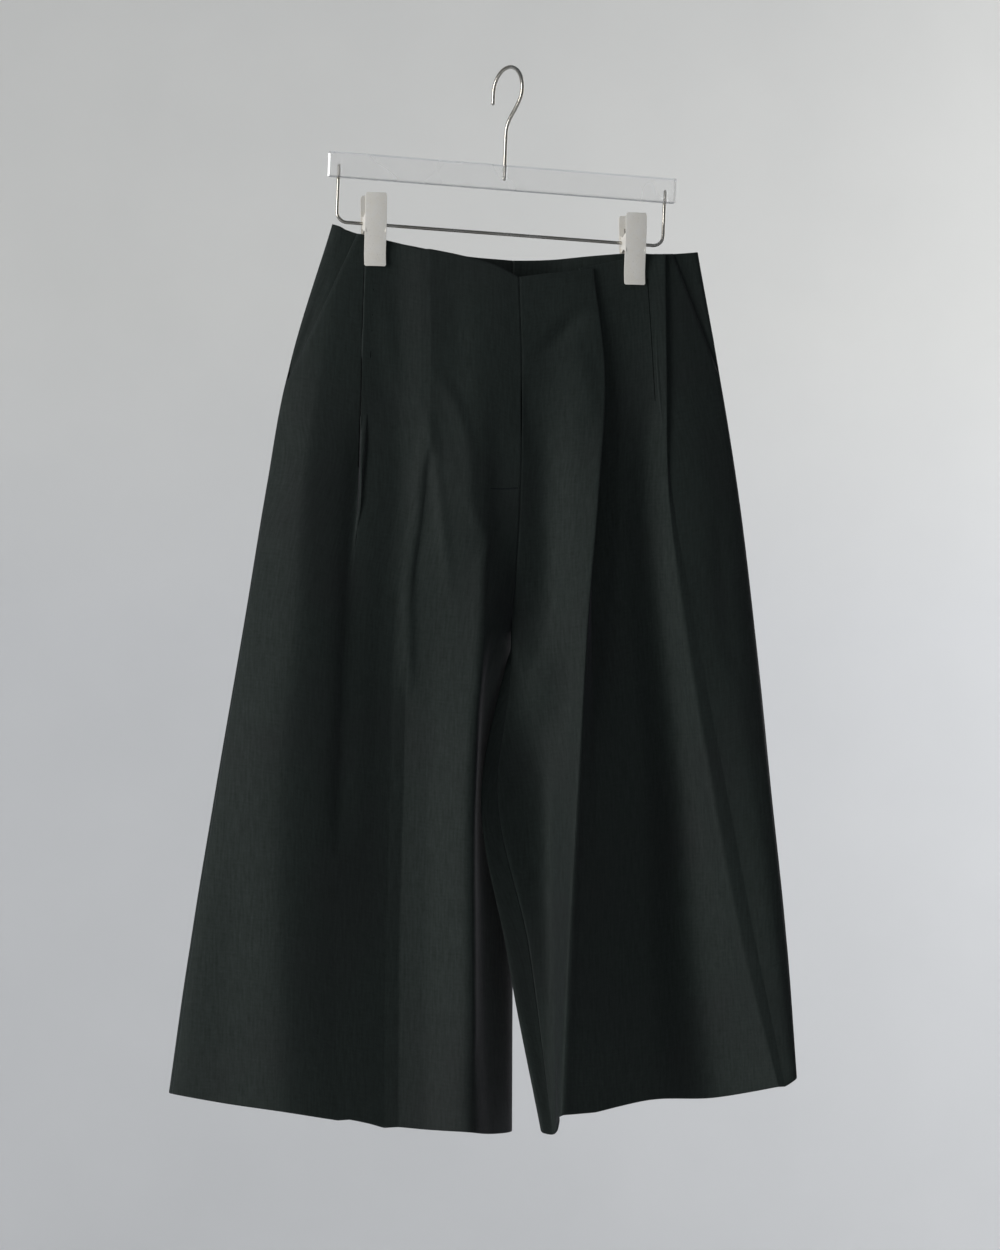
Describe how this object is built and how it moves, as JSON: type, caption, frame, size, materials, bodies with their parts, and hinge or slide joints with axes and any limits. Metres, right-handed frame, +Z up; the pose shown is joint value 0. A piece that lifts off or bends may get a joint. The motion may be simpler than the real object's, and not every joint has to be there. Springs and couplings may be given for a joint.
{
  "type": "pair of culottes on a clip hanger",
  "caption": "Wide calf-length culottes with a fly, slant pockets and tucks, hung by the waist from a bar hanger with two clips.",
  "frame": {"origin": "the point on the inside of the hook's top where it rests on a rail", "axes": "+Z up, +X to the viewer's right with the garment's front facing -Y, and the hook's rail runs about along X"},
  "size_m": [0.5457, 0.1172, 0.9374],
  "materials": {
    "cloth": "matte twill",
    "bar": "frosted clear",
    "wire": "polished",
    "clip": "satin nickel"
  },
  "bodies": {
    "root": {"front_right": "cloth", "front_left": "cloth", "back_right": "cloth", "back_left": "cloth", "pocket_bearer_right": "cloth", "pocket_bearer_left": "cloth", "waist_facing_back": "cloth", "hook": "wire", "bar": "bar", "lower_wire": "wire", "clip_right_front": "clip", "clip_right_back": "clip", "clip_right_spring": "wire", "clip_left_front": "clip", "clip_left_back": "clip", "clip_left_spring": "wire"}
  },
  "joints": []
}
